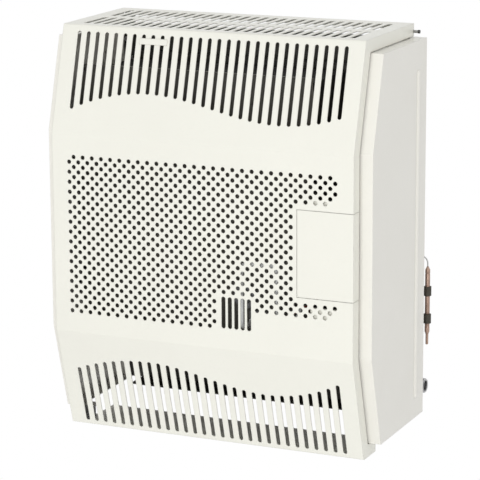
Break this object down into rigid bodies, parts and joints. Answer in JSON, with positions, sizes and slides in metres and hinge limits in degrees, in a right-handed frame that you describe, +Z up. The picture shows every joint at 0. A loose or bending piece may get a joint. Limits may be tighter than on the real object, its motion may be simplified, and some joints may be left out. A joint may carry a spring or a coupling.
{
  "type": "wall mounted gas heater",
  "caption": "Wall mounted balanced-flue gas heater: perforated folded cover with wave-cut slots, hinged control door, side panels, sealed chamber and flue spigot",
  "frame": {"origin": "on the wall plane, at the middle of the four wall fixing holes", "axes": "+Z is up, -Y is the front of the heater, +X is to the right seen from the front, +Y goes into the wall"},
  "size_m": [0.4852, 0.257, 0.5722],
  "materials": {
    "ivory_enamel": "smooth off-white stove enamel",
    "zinc_steel": "zinc plated sheet steel",
    "black_enamel": "heat resistant black",
    "dark_steel": "blackened steel",
    "dark_sheet": "dull dark grey",
    "aluminium": "drawn tube",
    "brass": "turned",
    "copper": "drawn copper",
    "black_plastic": "fine matt",
    "red_plastic": "glossy",
    "lead_rubber": "silicone sleeve",
    "seal_rubber": "foam ring",
    "gasket_fibre": "woven fibre",
    "sight_glass": "clear",
    "white_ceramic": "glazed",
    "capillary_steel": "thin drawn tube",
    "die_cast": "die cast"
  },
  "bodies": {
    "heater": {"front_cover": "ivory_enamel", "badge_plate": "ivory_enamel", "door_hinge_pins": "zinc_steel", "door_frame": "ivory_enamel", "door_catch": "zinc_steel", "side_panel_left": "ivory_enamel", "side_panel_right": "ivory_enamel", "panel_screws": "zinc_steel", "back_plate": "dark_sheet", "cover_hang_pins": "dark_steel", "cover_brackets": "zinc_steel", "cover_screws": "zinc_steel", "wall_rails": "zinc_steel", "rail_screws": "zinc_steel", "heat_shield": "dark_sheet", "combustion_chamber": "black_enamel", "chamber_gasket": "gasket_fibre", "chamber_front": "black_enamel", "chamber_screws": "zinc_steel", "sight_glass": "sight_glass", "sight_glass_ring": "zinc_steel", "flue_baffle": "zinc_steel", "flue_spigot": "aluminium", "air_inlet_collar": "zinc_steel", "flue_seal": "seal_rubber", "main_burner": "zinc_steel", "burner_saddles": "zinc_steel", "injector": "brass", "injector_holder": "brass", "burner_gas_pipe": "aluminium", "pilot_bracket": "zinc_steel", "pilot_burner": "brass", "pilot_pipe": "aluminium", "thermocouple": "copper", "spark_electrode": "white_ceramic", "ignition_lead": "lead_rubber", "gas_valve": "die_cast", "valve_bracket": "zinc_steel", "valve_screws": "zinc_steel", "igniter_body": "black_plastic", "gas_inlet_fitting": "zinc_steel", "gas_inlet_pipe": "aluminium", "thermostat_bulb": "copper", "bulb_bracket": "zinc_steel", "bulb_clips": "black_plastic", "capillary": "capillary_steel"},
    "door": {"control_door": "ivory_enamel"},
    "spindle": {"knob_spindle": "brass"},
    "knob": {"control_knob": "black_plastic"},
    "ignition_button": {"igniter_button": "red_plastic"}
  },
  "joints": [
    {"name": "door_hinge", "type": "hinge", "parent": "heater", "child": "door", "pos_m": [0.218, -0.252, 0], "axis": [0, 0, 1], "range_deg": [0, 100]},
    {"name": "knob_turn", "type": "hinge", "parent": "heater", "child": "spindle", "pos_m": [0.178, -0.22, 0.012], "axis": [0, -1, 0], "range_deg": [0, 270]},
    {"name": "knob_push", "type": "slide", "parent": "spindle", "child": "knob", "axis": [0, 1, 0], "range_m": [0, 0.004], "stiffness_N_per_m": 800, "springref_m": -0.004},
    {"name": "ignition_push", "type": "slide", "parent": "heater", "child": "ignition_button", "axis": [0, 1, 0], "range_m": [0, 0.006], "stiffness_N_per_m": 700, "springref_m": -0.005}
  ]
}
